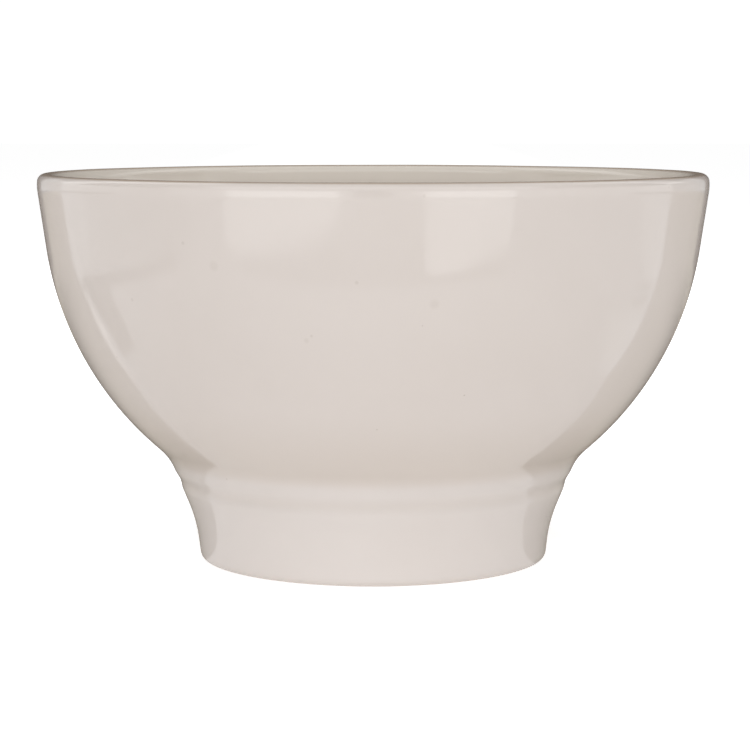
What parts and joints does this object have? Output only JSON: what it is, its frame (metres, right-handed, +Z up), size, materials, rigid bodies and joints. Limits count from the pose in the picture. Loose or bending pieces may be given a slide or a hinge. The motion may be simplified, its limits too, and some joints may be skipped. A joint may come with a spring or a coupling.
{
  "type": "latte bowl",
  "caption": "Round ceramic latte bowl without a handle: flared brim with a rounded lip, deep round belly and a hollow turned foot, glazed inside and out.",
  "frame": {"origin": "on the bowl's axis, in the plane of the standing face", "axes": "+Z up along the bowl's axis; the bowl is round, so X and Y are any two level directions"},
  "size_m": [0.14, 0.14, 0.081],
  "materials": {
    "bowl_clay": "fired buff clay, matte",
    "foot_clay": "fired buff clay, matte, sanded on the standing face",
    "slip": "fired slip, matte",
    "outer_glaze": "gloss glaze, warm off-white",
    "inner_glaze": "gloss glaze, warm off-white",
    "recess_glaze": "gloss glaze, warm off-white"
  },
  "bodies": {
    "root": {"bowl_body": "bowl_clay", "foot_ring": "foot_clay", "joint_slip": "slip", "outer_glaze": "outer_glaze", "inner_glaze": "inner_glaze", "recess_glaze": "recess_glaze"}
  },
  "joints": []
}
